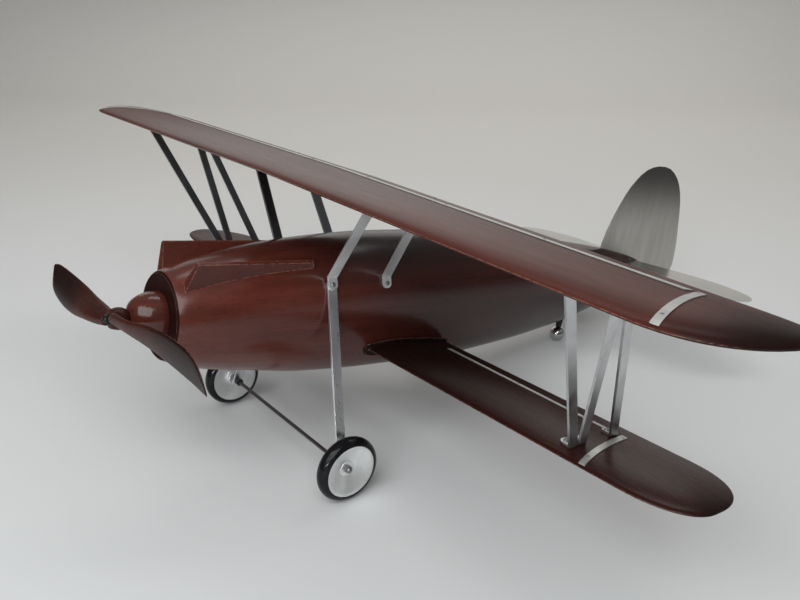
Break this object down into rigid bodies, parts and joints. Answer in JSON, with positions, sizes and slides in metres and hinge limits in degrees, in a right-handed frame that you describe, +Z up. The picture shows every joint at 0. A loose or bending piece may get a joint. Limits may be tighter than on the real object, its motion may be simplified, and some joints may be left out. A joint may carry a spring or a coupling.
{
  "type": "display biplane model",
  "caption": "Large wooden display model of a biplane with flat metal bar struts, spinning carved propeller and rolling wheels, standing nose-high on wheels and a tail ball.",
  "frame": {"origin": "middle of the bounding box, on the surface it stands on", "axes": "+Z up; the nose points towards -Y; the model's own left wing points towards +X"},
  "size_m": [1.2, 1.0765, 0.379],
  "materials": {
    "mahogany": "dark red-brown stained mahogany under gloss lacquer, toned near black at tips",
    "dowel_wood": "plain hardwood dowel, hidden inside",
    "trim_aluminium": "satin strip",
    "bar_aluminium": "polished flat bar with fine lengthwise scratches",
    "sheet_aluminium": "brushed sheet",
    "disc_aluminium": "turned disc with fine circular marks",
    "black_tyre": "glossy black rubber",
    "black_collar": "black",
    "ball_chrome": "polished ball",
    "bush_brass": "plain bush",
    "hardware_steel": "dark plain steel"
  },
  "bodies": {
    "airframe": {"fuselage": "mahogany", "bank_left": "mahogany", "bank_right": "mahogany", "nose_cone": "mahogany", "fin_pins": "hardware_steel", "prop_stud": "hardware_steel", "prop_washers": "hardware_steel", "prop_nut": "hardware_steel", "upper_wing": "mahogany", "upper_strip": "trim_aluminium", "upper_band_left": "trim_aluminium", "upper_band_right": "trim_aluminium", "lower_wing_left": "mahogany", "lower_strip_left": "trim_aluminium", "lower_band_left": "trim_aluminium", "wing_dowels_left": "dowel_wood", "lower_wing_right": "mahogany", "lower_strip_right": "trim_aluminium", "lower_band_right": "trim_aluminium", "wing_dowels_right": "dowel_wood", "trim_screws": "hardware_steel", "strut_front_left": "bar_aluminium", "strut_diagonal_left": "bar_aluminium", "strut_rear_left": "bar_aluminium", "strut_screws_left": "hardware_steel", "strut_front_right": "bar_aluminium", "strut_diagonal_right": "bar_aluminium", "strut_rear_right": "bar_aluminium", "strut_screws_right": "hardware_steel", "cabane_front_left": "bar_aluminium", "cabane_rear_left": "bar_aluminium", "cabane_screws_left": "hardware_steel", "cabane_front_right": "bar_aluminium", "cabane_rear_right": "bar_aluminium", "cabane_screws_right": "hardware_steel", "gear_leg_left": "bar_aluminium", "gear_leg_right": "bar_aluminium", "axle": "hardware_steel", "axle_collars": "black_collar", "axle_spacers": "hardware_steel", "axle_nuts": "hardware_steel", "fin": "sheet_aluminium", "stabiliser": "sheet_aluminium", "tail_ball": "ball_chrome", "ball_stem": "hardware_steel"},
    "propeller": {"propeller": "mahogany", "prop_bush": "bush_brass"},
    "wheel_left": {"wheel_hub_left": "disc_aluminium", "wheel_bush_left": "bush_brass", "tyre_left": "black_tyre"},
    "wheel_right": {"wheel_hub_right": "disc_aluminium", "wheel_bush_right": "bush_brass", "tyre_right": "black_tyre"}
  },
  "joints": [
    {"name": "propeller_spin", "type": "hinge", "parent": "airframe", "child": "propeller", "pos_m": [0, -0.51882, 0.23728], "axis": [0, -0.9813, 0.1925], "continuous": true},
    {"name": "wheel_left_spin", "type": "hinge", "parent": "airframe", "child": "wheel_left", "pos_m": [0.146, -0.3209, 0.041], "axis": [1, 0, 0], "continuous": true},
    {"name": "wheel_right_spin", "type": "hinge", "parent": "airframe", "child": "wheel_right", "pos_m": [-0.146, -0.3209, 0.041], "axis": [1, 0, 0], "continuous": true}
  ]
}
